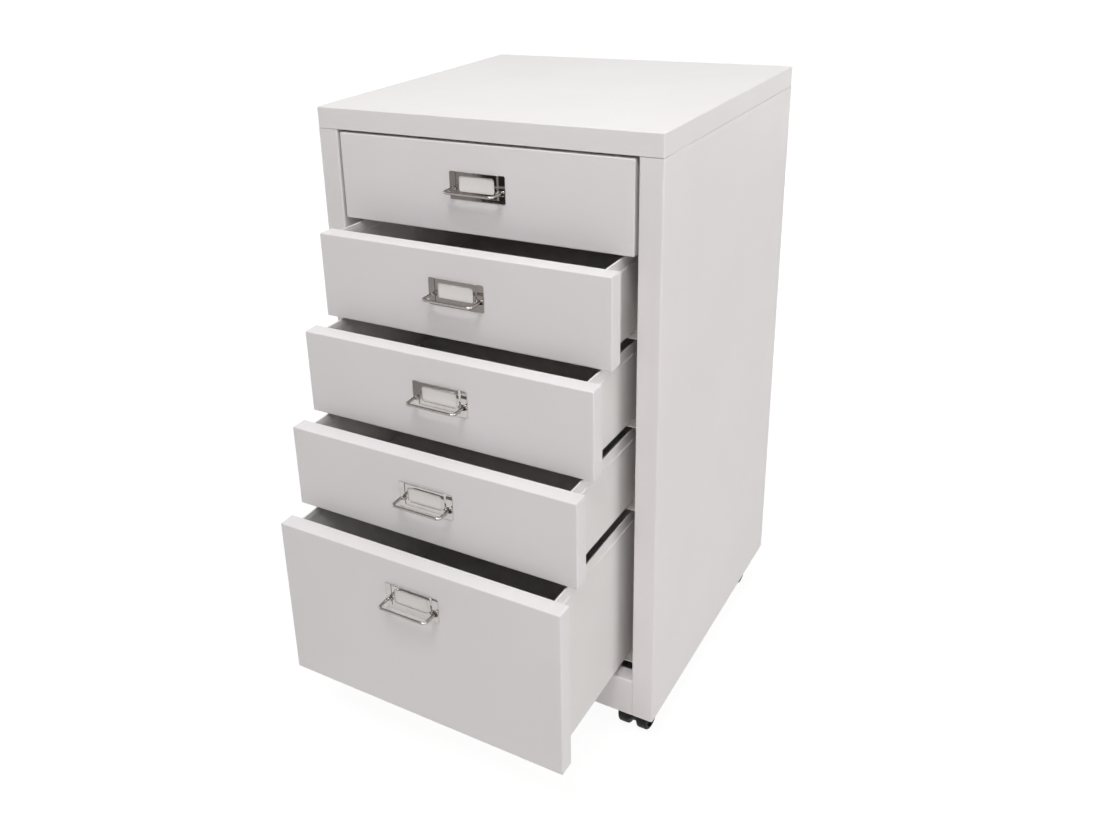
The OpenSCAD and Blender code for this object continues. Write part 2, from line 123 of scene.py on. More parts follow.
def linear(hex_colour):
    """Linear RGBA of an sRGB hex colour."""
    parts = [int(hex_colour[i:i + 2], 16) / 255 for i in (1, 3, 5)]
    return [p / 12.92 if p <= 0.04045 else ((p + 0.055) / 1.055) ** 2.4 for p in parts] + [1]


print("mid grey #808080 is", round(linear("#808080")[0], 3), "in linear light")

# %% [markdown]
# ## Nodes
#
# A material is a small network of nodes. One function adds a node: it takes the node's kind, its
# own settings, and what goes into its inputs, which may be a number, a colour or the output of
# another node. A second starts each material with its shader and a pattern space in metres on the
# piece itself, so that a grain of 2 mm is 2 mm on every piece.

# %% Helpers for materials


def add(tree, kind, into=None, **settings):
    """Adds a node with its settings, and sets or links its inputs."""
    node = tree.nodes.new("ShaderNode" + kind)
    for name, value in settings.items():
        setattr(node, name, value)
    for name, value in (into or {}).items():
        if isinstance(value, bpy.types.NodeSocket):
            tree.links.new(value, node.inputs[name])
        else:
            node.inputs[name].default_value = value
    return node


def new_material(name):
    """An empty material; returns it with its node tree and its Object coordinates."""
    made = bpy.data.materials.new(name)
    made.use_nodes = True
    made.node_tree.nodes.clear()
    place = add(made.node_tree, "TexCoord")
    return made, made.node_tree, place.outputs["Object"]


def finish_material(made, shader):
    """Joins the shader to the material's output."""
    output = add(made.node_tree, "OutputMaterial", {"Surface": shader})
    print("material", made.name, len(made.node_tree.nodes), "nodes")
    return output


def noise(tree, place, millimetres, detail=3.0, roughness=0.5):
    """Soft noise whose grains are about so many millimetres across."""
    return add(tree, "TexNoise", {"Vector": place, "Scale": 1 / (millimetres * MM),
                                  "Detail": detail, "Roughness": roughness}).outputs["Fac"]


def between(tree, amount, low, high, start=0.0, end=1.0):
    """Turns amount, from start to end, into a number from low to high."""
    return add(tree, "MapRange", {"Value": amount, "From Min": start, "From Max": end,
                                  "To Min": low, "To Max": high}).outputs["Result"]


def blend_colours(tree, amount, first, second):
    """Mixes two hex colours, or sockets, by amount."""
    mix = add(tree, "Mix", data_type="RGBA")
    for socket, value in ((0, amount), (6, first), (7, second)):
        if isinstance(value, str):
            mix.inputs[socket].default_value = linear(value)
        else:
            tree.links.new(value, mix.inputs[socket])
    return mix.outputs[2]


def bump(tree, height, millimetres, strength=1.0):
    """A surface that rises by so many millimetres where height is 1."""
    return add(tree, "Bump", {"Height": height, "Distance": millimetres * MM,
                              "Strength": strength}).outputs["Normal"]


# %% [markdown]
# ## Powder coat
#
# The body and the drawer fronts are powder coated: a dry paint is sprayed on by static charge and
# baked, and it flows out to a hard semi-gloss skin with a faint orange peel, waves about 2 mm
# across. It could be one flat colour, but a real coat has a slightly uneven tone from panel to
# panel and a slightly uneven gloss. So the colour drifts very little over a hand's width, the
# roughness drifts a bit more, and two noises give the orange peel its waves and its fine grain.

# %% Powder coat


def powder_coat(name, light, dark, gloss, peel):
    """Baked polyester powder on steel sheet: even, semi-gloss, with a fine orange peel."""
    made, tree, place = new_material(name)
    drift = between(tree, noise(tree, place, 160, 2), 0, 1, 0.3, 0.7)
    speck = noise(tree, place, 1.1, 2, 0.6)
    waves = noise(tree, place, 2.2, 1)
    colour = blend_colours(tree, drift, light, dark)
    rough = between(tree, noise(tree, place, 35, 4, 0.6), gloss - 0.04, gloss + 0.05, 0.3, 0.7)
    grain = bump(tree, speck, 0.006)
    peel_waves = add(tree, "Bump", {"Height": waves, "Distance": peel * MM, "Strength": 1.0,
                                    "Normal": grain}).outputs["Normal"]
    shader = add(tree, "BsdfPrincipled", {"Base Color": colour, "Roughness": rough,
                                          "IOR": 1.5, "Normal": peel_waves})
    finish_material(made, shader.outputs[0])
    return made


body_paint = powder_coat("light_grey_powder_coat_body", "#EBE7E7", "#E8E4E4", 0.42, 0.012)
front_paint = powder_coat("light_grey_powder_coat_fronts", "#EBE7E8", "#E8E4E5", 0.40, 0.012)
tray_paint = powder_coat("light_grey_powder_coat_trays", "#E9E6E5", "#E5E2E1", 0.48, 0.010)

# %% [markdown]
# ## Bright chrome
#
# The plates and the bails are nickel and chrome plated: a metal mirror, a little soft where the
# sheet below was pressed. Chrome has almost no colour of its own, and shows what stands around
# it. A perfect mirror looks computed, so a slow wave in the surface bends the reflections and a
# fine noise changes how sharp they are.

# %% Bright chrome


def plated_metal(name, colour, edge, gloss, spread, wave):
    """Bright plating on pressed steel: a near mirror whose reflections bend a little."""
    made, tree, place = new_material(name)
    handled = noise(tree, place, 9, 5, 0.65)
    rough = between(tree, handled, gloss, gloss + spread, 0.35, 0.75)
    tone = blend_colours(tree, between(tree, handled, 0, 1, 0.3, 0.8), colour[0], colour[1])
    shader = add(tree, "BsdfPrincipled", {
        "Base Color": tone, "Metallic": 1.0, "Roughness": rough, "Specular Tint": linear(edge),
        "Normal": bump(tree, noise(tree, place, 6, 1), wave)})
    finish_material(made, shader.outputs[0])
    return made


chrome = plated_metal("bright_chrome_plate", ("#C2BFBD", "#B5B1AE"), "#7C7874", 0.03, 0.05, 0.02)
zinc = plated_metal("bright_zinc_plate", ("#C9CCD0", "#B4B8BE"), "#FFFFFF", 0.24, 0.14, 0.02)

# %% [markdown]
# ## Galvanised steel
#
# The runners and the rear posts are left as galvanised sheet. The zinc freezes in flat crystals,
# the spangle, and each crystal throws the light a little differently. Voronoi cells 7 mm across
# give each crystal its own tone and roughness, and a fine noise breaks up their edges.

# %% Galvanised steel
galvanised, tree, place = new_material("galvanised_steel_sheet")
ragged = add(tree, "TexNoise", {"Vector": place, "Scale": 1 / (3 * MM), "Detail": 3.0})
shifted = add(tree, "VectorMath", {0: ragged.outputs["Color"], 1: (0.002, 0.002, 0.002)},
              operation="MULTIPLY").outputs[0]
crystal_place = add(tree, "VectorMath", {0: place, 1: shifted}, operation="ADD").outputs[0]
crystals = add(tree, "TexVoronoi", {"Vector": crystal_place, "Scale": 1 / (7 * MM)})
tone = add(tree, "SeparateColor", {"Color": crystals.outputs["Color"]}).outputs[0]
shader = add(tree, "BsdfPrincipled", {
    "Base Color": blend_colours(tree, tone, "#D2D0CC", "#E2E0DC"), "Metallic": 0.6,
    "Roughness": between(tree, tone, 0.50, 0.65),
    "Normal": bump(tree, noise(tree, place, 1.2, 3), 0.01)})
finish_material(galvanised, shader.outputs[0])

# %% [markdown]
# ## Black nylon
#
# The hood of a castor is moulded from black nylon with a fine spark-eroded grain, and the wheels
# from a softer nylon that greys with floor dust. Both are dark, dull plastics: the difference is
# in the grain and in the dust, which lies in soft patches all over the wheel.

# %% Black nylon for the hoods
hood_nylon, tree, place = new_material("moulded_black_nylon_hood")
grain = noise(tree, place, 0.7, 4, 0.7)
shader = add(tree, "BsdfPrincipled", {
    "Base Color": blend_colours(tree, noise(tree, place, 12, 4), "#0A0A0A", "#100F0F"),
    "Roughness": between(tree, grain, 0.42, 0.60, 0.3, 0.7), "IOR": 1.53,
    "Specular IOR Level": 0.18,
    "Normal": bump(tree, grain, 0.03)})
finish_material(hood_nylon, shader.outputs[0])

# %% Grey-black nylon for the wheels
wheel_nylon, tree, place = new_material("moulded_black_nylon_wheel")
dust = between(tree, noise(tree, place, 5, 5, 0.7), 0, 0.7, 0.45, 0.75)
shader = add(tree, "BsdfPrincipled", {
    "Base Color": blend_colours(tree, dust, "#0B0A0A", "#191817"),
    "Roughness": between(tree, dust, 0.48, 0.75, 0, 0.7), "IOR": 1.53,
    "Specular IOR Level": 0.18,
    "Normal": bump(tree, noise(tree, place, 0.9, 4, 0.7), 0.03)})
finish_material(wheel_nylon, shader.outputs[0])

# %% [markdown]
# ## Card
#
# The label is a plain uncoated card. Paper is matt, and its fibres show as a very fine mottle
# that is drawn here twice as coarse as it is, or it would vanish at this size.

# %% Paper card
paper, tree, place = new_material("uncoated_paper_card")
fibres = noise(tree, place, 0.8, 6, 0.7)
shader = add(tree, "BsdfPrincipled", {
    "Base Color": blend_colours(tree, between(tree, fibres, 0, 1, 0.3, 0.7), "#F1EEEB", "#E9E5E1"),
    "Roughness": 0.9, "IOR": 1.5, "Normal": bump(tree, fibres, 0.03)})
finish_material(paper, shader.outputs[0])

# %% [markdown]
# ## Floor, room and lamps
#
# A product like this is lit in a white room. The room could light it by itself, but then every
# side would be equally bright and the folds would vanish. So floor and room look white to the
# camera and in reflections, while everything else meets plain pale paper and a faint, even light.
# Soft lamps do the rest: one overhead, a key in front, fills at the right, and lower ones at the
# left and behind, so that no side is left dark.

# %% Floor


def looked_at(tree):
    """1 for rays from the camera, a mirror or glass, and 0 for rays that light other things."""
    rays = add(tree, "LightPath")
    seen = add(tree, "Math", {0: rays.outputs["Is Camera Ray"], 1: rays.outputs["Is Glossy Ray"]},
               operation="MAXIMUM").outputs[0]
    return add(tree, "Math", {0: seen, 1: rays.outputs["Is Transmission Ray"]},
               operation="MAXIMUM").outputs[0]


glow_share = 0.85       # the rest is paper that takes the shadow
room_light = 0.035      # what the white room gives to the cabinet

bpy.ops.object.select_all(action="DESELECT")
bpy.ops.mesh.primitive_plane_add(size=30, location=(0, 0, 0))
floor = bpy.context.object
floor.name = "floor"
floor_paper, tree, place = new_material("studio_floor_paper")
seen = looked_at(tree)
lit = add(tree, "BsdfDiffuse", {"Color": linear("#E4E2E0")}).outputs[0]
distance = add(tree, "VectorMath", {0: place}, operation="LENGTH").outputs["Value"]
brighter_outwards = between(tree, distance, 1.1, 1.2, 0.5, 1.8)
glow = add(tree, "Emission", {"Color": (1, 1, 1, 1), "Strength": brighter_outwards}).outputs[0]
pale = add(tree, "MixShader", {0: glow_share, 1: lit, 2: glow}).outputs[0]
finish_material(floor_paper, add(tree, "MixShader", {0: seen, 1: lit, 2: pale}).outputs[0])
floor.data.materials.append(floor_paper)

# %% Room
room = bpy.data.worlds.new("white_room")
room.use_nodes = True
tree = room.node_tree
tree.nodes.clear()
seen = looked_at(tree)
strength = between(tree, seen, room_light, 1.0)
walls = add(tree, "Background", {"Color": (1, 1, 1, 1), "Strength": strength})
add(tree, "OutputWorld", {"Surface": walls.outputs[0]})
bpy.context.scene.world = room
bpy.context.scene.view_settings.view_transform = "Standard"

# %% Lamps


def softbox(name, place, aim, size, watts):
    """A rectangular soft light at a place, in metres, that faces a point."""
    light = bpy.data.lights.new(name, "AREA")
    light.shape = "RECTANGLE"
    light.size, light.size_y = size
    light.energy = watts
    lamp = bpy.data.objects.new(name, light)
    lamp.location = place
    lamp.rotation_euler = (Vector(aim) - Vector(place)).to_track_quat("-Z", "Y").to_euler()
    bpy.context.scene.collection.objects.link(lamp)
    print(name, watts, "W")


softbox("overhead_softbox", (0.0, 0.1, 2.6), (0.0, 0.05, 0.4), (2.2, 2.2), 22)
softbox("front_key", (0.35, -1.5, 2.5), (0.0, 0.0, 0.4), (0.8, 0.8), 30)
softbox("right_front_fill", (1.7, -1.5, 2.0), (0.0, 0.0, 0.4), (1.4, 1.4), 14)
softbox("right_fill", (2.4, 0.1, 1.2), (0.0, 0.0, 0.35), (1.4, 1.6), 18)
softbox("left_fill", (-2.4, 0.4, 0.8), (0.0, 0.1, 0.35), (1.4, 1.4), 15)
softbox("back_fill", (-0.3, 2.6, 0.33), (0.0, 0.2, 0.33), (1.6, 0.6), 15)
softbox("left_front_fill", (-1.2, -2.0, 1.0), (0.0, 0.0, 0.4), (1.4, 1.4), 2)

# %% [markdown]
# ## Dark cards
#
# Chrome in an all-white room turns white itself and loses its shape. A photographer stands dark
# cards where the chrome looks, outside the picture. The plates look down at the floor, each at a
# spot of its own, the lower the nearer: grey cards lie there in bands, and a black one beside
# them. The bails look up and back, at a dark ceiling around the softbox and at a dark wall behind
# the camera. Only reflections see the cards. They give no light and throw no shadow, so the
# paint stays as it is.

# %% Dark cards
card_edge = Vector((-0.50, -0.92, 0.002))   # metres: where the first band begins
band_turn = -34                             # degrees: how the bands lie on the floor
outwards = Vector((math.sin(math.radians(band_turn)), -math.cos(math.radians(band_turn)), 0))
band_l = 6.0


def dark_card(name, place, size, turn, colour):
    """A flat card, in metres, that is only seen in reflections."""
    bpy.ops.object.select_all(action="DESELECT")
    bpy.ops.mesh.primitive_plane_add(size=1, location=place,
                                     rotation=[math.radians(a) for a in turn])
    card = bpy.context.object
    card.name = name
    card.scale = (size[0], size[1], 1)
    made, tree, _ = new_material(name)
    finish_material(made, add(tree, "Emission", {"Color": linear(colour)}).outputs[0])
    card.data.materials.append(made)
    card.visible_camera = card.visible_diffuse = card.visible_shadow = False
    card.visible_transmission = card.visible_volume_scatter = False


for name, near_end, far_end, colour in (("near_band", 0.0, 0.30, "#9E9996"),
                                        ("middle_band", 0.30, 1.0, "#B4AFAC"),
                                        ("far_band", 1.0, 3.0, "#9E9996")):
    dark_card(name, card_edge + outwards * (near_end + far_end) / 2, (band_l, far_end - near_end),
              (0, 0, band_turn), colour)
dark_card("black_card", (-0.785, -2.785, 0.004), (1.5, 1.4), (0, 0, -31.3), "#2B2928")
dark_card("right_card", (1.45, -2.2, 0.004), (1.9, 2.0), (0, 0, 0), "#A6A29F")
dark_card("ceiling_card", (0, -0.75, 3.2), (8, 6.5), (0, 0, 0), "#8E8A87")
dark_card("back_card", (-1.0, -4.0, 1.5), (6, 3), (90, 0, 0), "#BDB9B6")

# %% [markdown]
# ## Tools of the trade
#
# Modelling by hand goes in three steps: start from a primitive at its size and place, go into
# edit mode and pick the faces or edges to work on, and apply an operator to them. These helpers
# do the same. `start_box` and `start_sheet` place a primitive, `pick` selects by place and
# direction instead of by mouse, `shade` shades the piece, and `finish` gives it its material and
# says which body it moves with.

# %% Starting a piece


def begin():
    """Object mode, with nothing selected."""
    if bpy.context.mode != "OBJECT":
        bpy.ops.object.mode_set(mode="OBJECT")
    bpy.ops.object.select_all(action="DESELECT")


def select_only(piece):
    """Makes one piece the selected and active one."""
    begin()
    piece.select_set(True)
    bpy.context.view_layer.objects.active = piece


def into_edit(name):
    """Names the new primitive, puts its place into its mesh and opens it in edit mode."""
    piece = bpy.context.object
    piece.name = piece.data.name = name
    bpy.ops.object.transform_apply(location=True, rotation=True, scale=True)
    bpy.ops.object.mode_set(mode="EDIT")
    return piece


def start_box(name, low, high):
    """A box between two corners, in mm."""
    begin()
    low, high = Vector(low) * MM, Vector(high) * MM
    bpy.ops.mesh.primitive_cube_add(size=1, location=(low + high) / 2, scale=high - low)
    return into_edit(name)


def start_sheet(name, low, high):
    """A flat upright sheet between two corners, in mm, that share their y."""
    begin()
    low, high = Vector(low) * MM, Vector(high) * MM
    bpy.ops.mesh.primitive_plane_add(size=1, location=(low + high) / 2,
                                     rotation=(math.radians(90), 0, 0))
    bpy.context.object.scale = (high.x - low.x, high.z - low.z, 1)
    return into_edit(name)


def start_rod(name, middle, radius, length, sides=32, turn=(0, 90, 0), ends="NGON"):
    """A cylinder about a middle, in mm; it lies along X unless turn, in degrees, says otherwise."""
    begin()
    bpy.ops.mesh.primitive_cylinder_add(
        vertices=sides, radius=radius * MM, depth=length * MM, end_fill_type=ends,
        location=Vector(middle) * MM, rotation=[math.radians(a) for a in turn])
    return into_edit(name)


# %% Picking in edit mode


def near(a, b, slack=0.05):
    """True if two sizes in mm are the same, give or take slack."""
    return abs(a - b) < slack


def pick(kind, test):
    """Selects the verts, edges or faces that pass test(place in mm, direction)."""
    modes = {"verts": "VERT", "edges": "EDGE", "faces": "FACE"}
    bpy.ops.mesh.select_mode(type=modes[kind])
    bpy.ops.mesh.select_all(action="DESELECT")
    mesh = bmesh.from_edit_mesh(bpy.context.object.data)
    found = 0
    for item in getattr(mesh, kind):
        if kind == "verts":
            place, direction = item.co, item.normal
        elif kind == "edges":
            ends = item.verts[0].co, item.verts[1].co
            place, direction = (ends[0] + ends[1]) / 2, (ends[1] - ends[0]).normalized()
        else:
            place, direction = item.calc_center_median(), item.normal
        if test(place / MM, direction):
            item.select_set(True)
            found += 1
    mesh.select_flush_mode()
    bmesh.update_edit_mesh(bpy.context.object.data)
    return found


def extrude(x=0.0, y=0.0, z=0.0):
    """Pulls what is selected out by so many mm."""
    bpy.ops.mesh.extrude_region_move(TRANSFORM_OT_translate={"value": (x * MM, y * MM, z * MM)})


def move(x=0.0, y=0.0, z=0.0):
    """Moves what is selected by so many mm."""
    bpy.ops.transform.translate(value=(x * MM, y * MM, z * MM))


def bevel(width, steps=3, what="EDGES"):
    """Rounds what is selected over a width in mm."""
    bpy.ops.mesh.bevel(offset=width * MM, offset_type="OFFSET", segments=steps, affect=what,
                       clamp_overlap=True)


def inset(width):
    """Draws a rim, so many mm wide, inside the selected faces, which stay selected."""
    bpy.ops.mesh.inset(thickness=width * MM)


def cut(axis, place, keep=0, everything=True, closed=False):
    """Cuts with a plane across axis at place; keep is 1 or -1 to keep only that side."""
    if everything:
        bpy.ops.mesh.select_all(action="SELECT")
    spot = {"x": (place, 0, 0), "y": (0, place, 0), "z": (0, 0, place)}[axis]
    flat = {"x": (1, 0, 0), "y": (0, 1, 0), "z": (0, 0, 1)}[axis]
    bpy.ops.mesh.bisect(plane_co=Vector(spot) * MM, plane_no=flat,
                        clear_inner=keep > 0, clear_outer=keep < 0, use_fill=closed,
                        threshold=0.00001)


def face_away_from(point):
    """Turns the sheet so that its good side looks away from a point, in mm."""
    mesh = bmesh.from_edit_mesh(bpy.context.object.data)
    middle = Vector(point) * MM
    total = sum(f.calc_area() * f.normal.dot(f.calc_center_median() - middle) for f in mesh.faces)
    if total < 0:
        bpy.ops.mesh.select_all(action="SELECT")
        bpy.ops.mesh.flip_normals()


# %% Finishing a piece


def apply_modifier(piece, kind, **settings):
    """Adds a modifier with its settings and applies it."""
    select_only(piece)
    made = piece.modifiers.new(kind.lower(), kind)
    for name, value in settings.items():
        setattr(made, name, value)
    bpy.ops.object.modifier_apply(modifier=made.name)


def thicken(piece, thickness):
    """Gives a folded sheet its thickness, inwards from its good side."""
    apply_modifier(piece, "SOLIDIFY", thickness=thickness * MM, offset=-1, use_even_offset=True)


def break_edges(piece, width, angle=30, steps=2):
    """Rounds every edge that is sharper than angle."""
    apply_modifier(piece, "BEVEL", width=width * MM, segments=steps, limit_method="ANGLE",
                   angle_limit=math.radians(angle), use_clamp_overlap=True)


def join(name, *parts):
    """Joins finished parts into the first one."""
    begin()
    for part in parts:
        part.select_set(True)
    bpy.context.view_layer.objects.active = parts[0]
    if len(parts) > 1:
        bpy.ops.object.join()
    parts[0].name = parts[0].data.name = name
    return parts[0]


def shade(piece, angle=35):
    """Smooth over soft bends, crisp over edges sharper than angle, flat panels kept flat."""
    select_only(piece)
    bpy.ops.object.shade_smooth_by_angle(angle=math.radians(angle))
    apply_modifier(piece, "WEIGHTED_NORMAL", keep_sharp=True)


def copy_of(piece, name, x=0.0, y=0.0, z=0.0):
    """A copy with a mesh of its own, moved by so many mm."""
    select_only(piece)
    bpy.ops.object.duplicate()
    twin = bpy.context.object
    twin.name = twin.data.name = name
    bpy.ops.transform.translate(value=(x * MM, y * MM, z * MM))
    bpy.ops.object.transform_apply(location=True, rotation=True, scale=True)
    return twin


def finish(piece, material, body, slot, *nodes):
    """Gives a piece its material, says what it moves with, and hides the solids that it stands for.
    """
    piece.data.materials.clear()
    piece.data.materials.append(material)
    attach(piece, body)
    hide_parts(*nodes)
    low = [min(v.co[k] for v in piece.data.vertices) / MM for k in range(3)]
    high = [max(v.co[k] for v in piece.data.vertices) / MM for k in range(3)]
    print(piece.name, "mm:", " x ".join(f"{b - a:.1f}" for a, b in zip(low, high)),
          "faces:", len(piece.data.polygons))


# %% [markdown]
# ## Top panel
#
# The top is a shallow pan pressed from one sheet: its edge is folded down 22 mm, the corners are
# welded and ground round, and a lip is folded in below for the screws. It could be drawn as a
# sheet with four folds, but the corners would then need patching. A box is quicker: its upright
# edges are rounded for the ground corners, the upper edges for the fold, and the underside is
# inset by the lip and opened. Solidify then gives the shell the thickness of the sheet, inwards.
# The pan is a little narrower than the cabinet, so the folded tops of the sides stand proud.

# %% Top panel
cap_lip = 16
cap_corner, cap_fold = 1.4, 1.2
cap_in = 0.4            # the sides' folded top edges stand proud of the pan
top = start_box("top_pan", (cap_in - half_w, face_y, cap_z), (half_w - cap_in, back_y, top_z))
pick("faces", lambda p, d: d.z < -0.9)
inset(cap_lip)
bpy.ops.mesh.delete(type="FACE")
pick("edges", lambda p, d: abs(d.z) > 0.9)
bevel(cap_corner, 4)
pick("edges", lambda p, d: near(p.z, top_z))
bevel(cap_fold, 4)
thicken(top, sheet)
shade(top)
finish(top, body_paint, "cabinet", "body_paint", "top_panel")

# %% [markdown]
# ## Side panels
#
# Each side is one sheet with four folds, between a flange at the back, the side itself, the front
# stile and its inner return, and a flange at the top. The press brake leaves bends of just under
# 2 mm. The sheet is drawn as it is folded: a strip that is pulled out along the outline, fold
# after fold. The fold lines are then rounded, and only after that does it get its thickness,
# because a bend is round on the inside too.

# %% Side panels
fold_out = 1.8          # outer radius of the folds
flange = 16
stile_return = 40
notch_z = 48            # the return ends above the floor panel and the castor's nuts
top_fold = 0.8
trim = 0.3              # the stile's raw top edge is cut a little lower than the fold beside it


def make_side_panel(side, sign):
    """One side panel; sign is 1 on the right and -1 on the left."""
    panel = start_sheet("side_sheet_" + side,
                        (min(sign * (half_w - flange), sign * half_w), back_y, base_z),
                        (max(sign * (half_w - flange), sign * half_w), back_y, side_top))
    pick("edges", lambda p, d: near(p.x, sign * half_w) and abs(d.z) > 0.9)
    extrude(y=face_y - back_y)
    extrude(x=-sign * (half_w - stile_x))
    extrude(y=stile_return)
    pick("edges", lambda p, d: abs(d.z) > 0.9 and (near(abs(p.x), half_w) or near(p.y, face_y)))
    bevel(fold_out, 6)
    pick("edges", lambda p, d: near(p.z, side_top) and near(abs(p.x), half_w) and abs(d.y) > 0.99)
    extrude(x=-sign * flange)
    pick("edges", lambda p, d: near(p.z, side_top) and near(abs(p.x), half_w) and abs(d.y) > 0.99)
    bevel(top_fold, 3)
    pick("verts", lambda p, d: near(p.z, side_top) and p.y < face_y + 0.1)
    move(z=-trim)
    pick("faces", lambda p, d: near(p.x, sign * stile_x) and p.y > face_y + fold_out)
    cut("z", notch_z, keep=1, everything=False)
    face_away_from((0, 0, 350))
    thicken(panel, sheet)
    shade(panel)
    finish(panel, body_paint, "cabinet", "body_paint", "side_panel_" + side)


make_side_panel("left", -1)
make_side_panel("right", 1)

# %% [markdown]
# ## Plinth rail
#
# A rail closes the front below the deep drawer. It is an angle: a face and a top return that runs
# back under the drawer. One upright sheet, its top edge pulled back, and a soft bend. The ends
# of the face reach a little way over the folds of the stiles, and a faint groove is left between.

# %% Plinth rail
plinth_z = 89
plinth_return, plinth_fold = 18, 2
flush_end = 0.4         # how far the face reaches over the stiles' folds
rail = start_sheet("plinth_angle", (-stile_x - flush_end, face_y, base_z),
                   (stile_x + flush_end, face_y, plinth_z))
for sign in (-1, 1):
    cut("x", sign * stile_x)
pick("edges", lambda p, d: near(p.z, plinth_z) and near(p.x, 0))
extrude(y=plinth_return)
pick("edges", lambda p, d: near(p.z, plinth_z) and near(p.y, face_y) and near(p.x, 0))
bevel(plinth_fold, 4)
face_away_from((0, 50, 40))
thicken(rail, sheet)
shade(rail)
finish(rail, body_paint, "cabinet", "body_paint", "plinth_rail")

# %% [markdown]
# ## Drawer fronts
#
# A front is a pan like the top, stood on its side: a face with returns all round, mitred at the
# corners, and a flange folded in behind for the tray. The folds of the face are tight, so that
# they catch a thin bright line. On the shallow fronts the returns only meet at the corners and
# aren't welded there, so a fine dark slit stays open: the middle strip of each rounded corner is
# deleted before the sheet gets its thickness. The deep front's corners are ground. Each side
# return has a spot weld near its back edge, a shallow round dimple left by the electrode. It is
# pressed in with a ball, whose pole points at the sheet to keep the dimple's rim even.

# %% Drawer fronts
front_flange = 20
face_fold = 1.2
weld_r = 2.2
weld_deep = 0.5
weld_back = 12.3        # behind the face
weld_drop, deep_weld_drop = 2, 22
ball_r = (weld_r ** 2 + weld_deep ** 2) / (2 * weld_deep)


def make_front(i):
    """The folded front of drawer i."""
    y = face_y - open_by[i]
    low, high = front_z(i), front_top(i)
    front = start_box(f"drawer_{i}_pan", (-front_half, y, low), (front_half, y + front_d, high))
    pick("faces", lambda p, d: d.y > 0.9)
    inset(front_flange)
    bpy.ops.mesh.delete(type="FACE")
    pick("edges", lambda p, d: near(p.y, y) or abs(d.y) > 0.9)
    bevel(face_fold, 3)
    if i != 5:
        pick("faces", lambda p, d: near(abs(d.x), abs(d.z), 0.01) and abs(d.y) < 0.01)
        bpy.ops.mesh.delete(type="FACE")
    thicken(front, sheet)
    for sign in (-1, 1):
        begin()
        bpy.ops.mesh.primitive_uv_sphere_add(
            segments=32, ring_count=72, radius=ball_r * MM, rotation=(0, math.radians(90), 0),
            location=Vector((sign * (front_half + ball_r - weld_deep), y + weld_back,
                             (low + high) / 2 - (deep_weld_drop if i == 5 else weld_drop))) * MM)
        ball = bpy.context.object
        apply_modifier(front, "BOOLEAN", operation="DIFFERENCE", object=ball, solver="EXACT")
        bpy.data.objects.remove(ball)
    shade(front)
    finish(front, front_paint, f"drawer_{i}", "front_paint", f"drawer_{i}_front")


for i in drawers:
    make_front(i)

# %% [markdown]
# ## Trays
#
# Behind each front sits a tray. Its sides step in by 1 mm along the top, a band that stiffens
# the thin sheet and shows as one faint line, and its back wall is a little lower. The top edges
# of the sides are folded over into a hem, so that no raw edge is left to cut a hand: it shows as
# a bright line. A lug at each side of the back stops the drawer on its runner. The tray starts
# as a box without a lid. Two cuts mark the step, the points above them are moved in, the edge is
# pulled in and down for the hem, and the lugs are pulled out of the finished wall.

# %% Trays
tray_side = 151.8       # outer face of a tray's side
tray_l = 348
tray_lift = 7.5
band_h = 11
band_step = 1.0
back_drop = 8
lug_reach = 8
lug_h = 20
hem_w, hem_down, hem_round = 1.8, 6, 0.45
tray_fold = 1.2
lug_start = 2           # above the tray's floor


def make_tray(i):
    """The tray of drawer i."""
    y = face_y - open_by[i] + front_d
    low, high = front_z(i) + tray_lift, front_top(i)
    tray = start_box(f"drawer_{i}_box", (-tray_side, y, low), (tray_side, y + tray_l, high))
    pick("faces", lambda p, d: d.z > 0.9)
    bpy.ops.mesh.delete(type="FACE")
    pick("edges", lambda p, d: near(p.z, low) and abs(d.y) > 0.9 or near(p.y, y + tray_l)
         and not near(p.z, high))
    bevel(tray_fold, 3)
    cut("z", high - band_h - band_step)
    cut("z", high - band_h)
    cut("z", high - back_drop)
    for sign in (-1, 1):
        pick("verts", lambda p, d: p.z > high - band_h - 0.2 and p.x * sign > tray_side - 2)
        move(x=-sign * band_step)
    pick("faces", lambda p, d: p.z > high - back_drop and p.y > y + tray_l - 1)
    bpy.ops.mesh.delete(type="FACE")
    for sign in (-1, 1):
        pick("edges", lambda p, d: near(p.z, high) and p.x * sign > tray_side - 2
             and abs(d.y) > 0.9)
        extrude(x=-sign * hem_w)
        extrude(z=-hem_down)
    pick("edges", lambda p, d: near(p.z, high) and abs(p.x) > tray_side - 3.5 and abs(d.y) > 0.9)
    bevel(hem_round, 3)
    face_away_from((0, y + tray_l / 2, (low + high) / 2))
    thicken(tray, tray_sheet)
    select_only(tray)
    bpy.ops.object.mode_set(mode="EDIT")
    lug_y = y + tray_l - 2 * tray_sheet
    for axis, place in (("y", lug_y), ("y", lug_y - tray_sheet),
                        ("z", low + lug_start), ("z", low + lug_h)):
        pick("faces", lambda p, d: abs(d.x) > 0.9)
        cut(axis, place, everything=False)
    for sign in (-1, 1):
        pick("faces", lambda p, d: d.x * sign > 0.9 and p.x * sign > tray_side - 0.1
             and lug_y - tray_sheet < p.y < lug_y and low + lug_start < p.z < low + lug_h)
        extrude(x=sign * lug_reach)
    shade(tray)
    finish(tray, tray_paint, f"drawer_{i}", "tray_paint", f"drawer_{i}_tray")


for i in drawers:
    make_tray(i)

